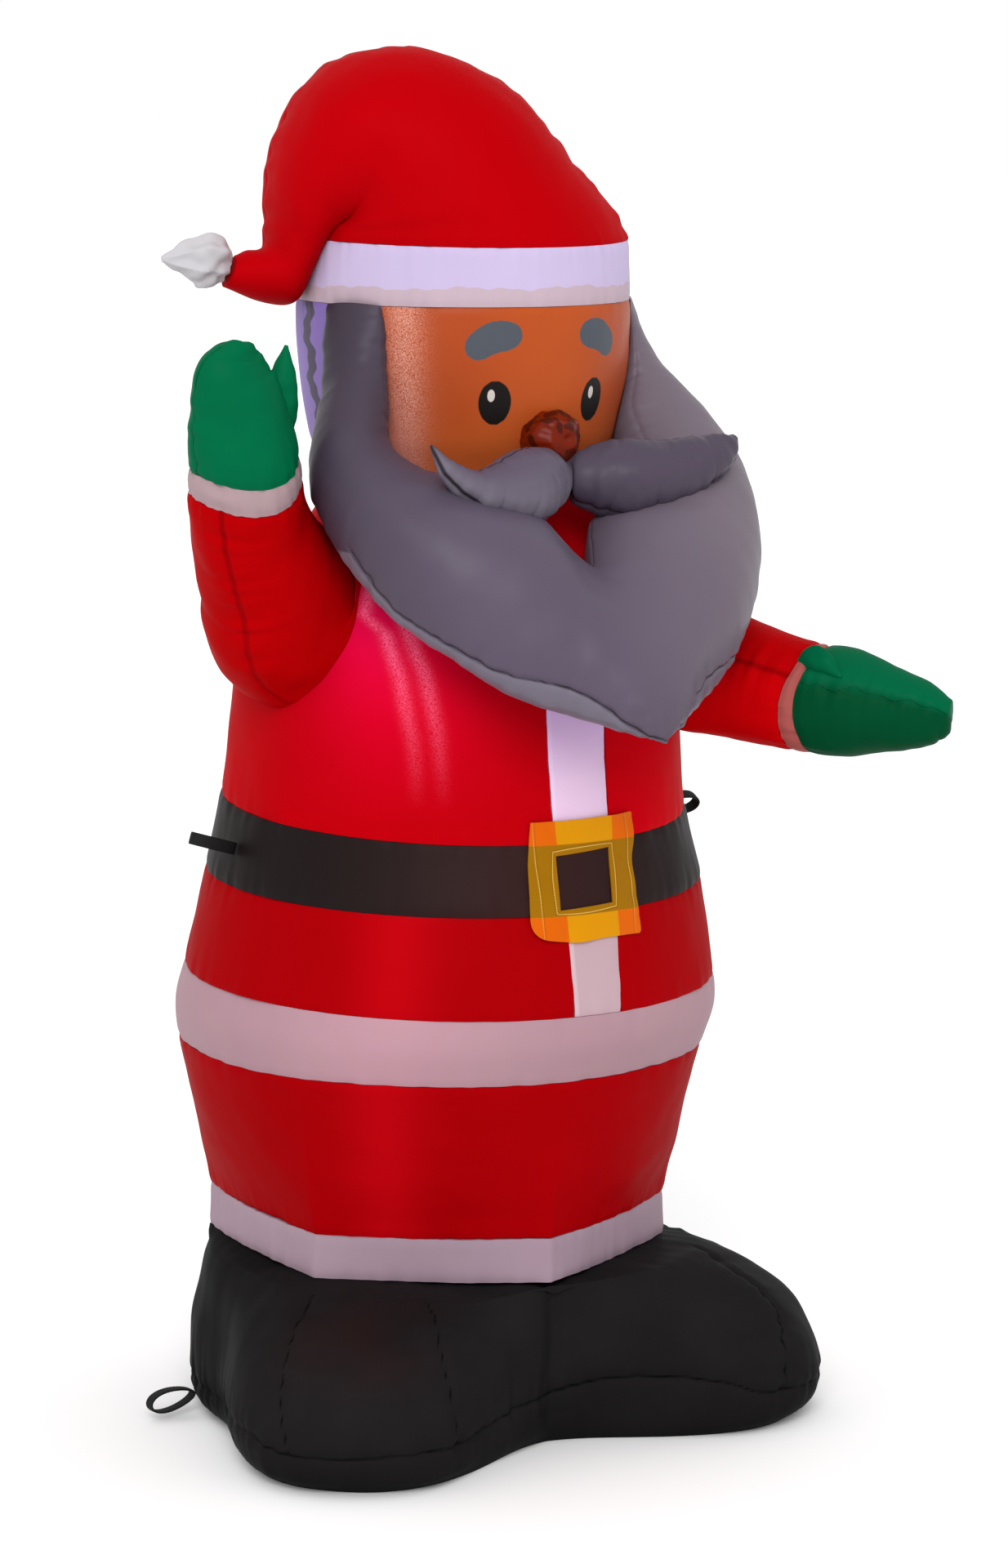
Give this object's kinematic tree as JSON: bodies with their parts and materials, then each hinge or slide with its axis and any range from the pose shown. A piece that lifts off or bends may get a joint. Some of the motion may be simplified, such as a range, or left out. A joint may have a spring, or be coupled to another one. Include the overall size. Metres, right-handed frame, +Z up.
{
  "type": "inflatable santa claus figure",
  "caption": "Inflatable standing Santa Claus with a full grey beard, drooping red hat, belted red coat, black boots and a raised mitten, with webbing loops for tethers.",
  "frame": {"origin": "on the floor, in the flat underside of the boots, on the axis of the body", "axes": "+Z up, -Y the way the figure faces, -X its own right side, where the raised hand is"},
  "size_m": [0.6399, 0.5991, 1.22],
  "materials": {
    "red_cloth": "thin woven polyester, satin",
    "white_cloth": "thin woven polyester, satin",
    "black_cloth": "thin woven polyester, satin",
    "green_cloth": "thin woven polyester, satin",
    "grey_cloth": "thin woven polyester, satin",
    "brown_cloth": "thin woven polyester, satin",
    "nose_cloth": "thin woven polyester, satin",
    "yellow_cloth": "thin woven polyester, satin",
    "webbing": "matt flat webbing"
  },
  "bodies": {
    "root": {"boots": "black_cloth", "hem_trim": "white_cloth", "coat_skirt": "red_cloth", "hip_trim": "white_cloth", "coat_waist": "red_cloth", "placket_lower": "white_cloth", "belt": "black_cloth", "coat_chest": "red_cloth", "placket_upper": "white_cloth", "head_back": "white_cloth", "face": "brown_cloth", "hat_band": "white_cloth", "buckle": "yellow_cloth", "beard": "grey_cloth", "nose": "nose_cloth", "moustache_right": "grey_cloth", "moustache_left": "grey_cloth", "hat": "red_cloth", "pompom": "white_cloth", "right_sleeve": "red_cloth", "right_cuff": "white_cloth", "right_mitten": "green_cloth", "left_sleeve": "red_cloth", "left_cuff": "white_cloth", "left_mitten": "green_cloth", "belt_loop_right": "webbing", "belt_loop_left": "webbing", "boot_loop_right": "webbing", "boot_loop_left": "webbing"}
  },
  "joints": []
}
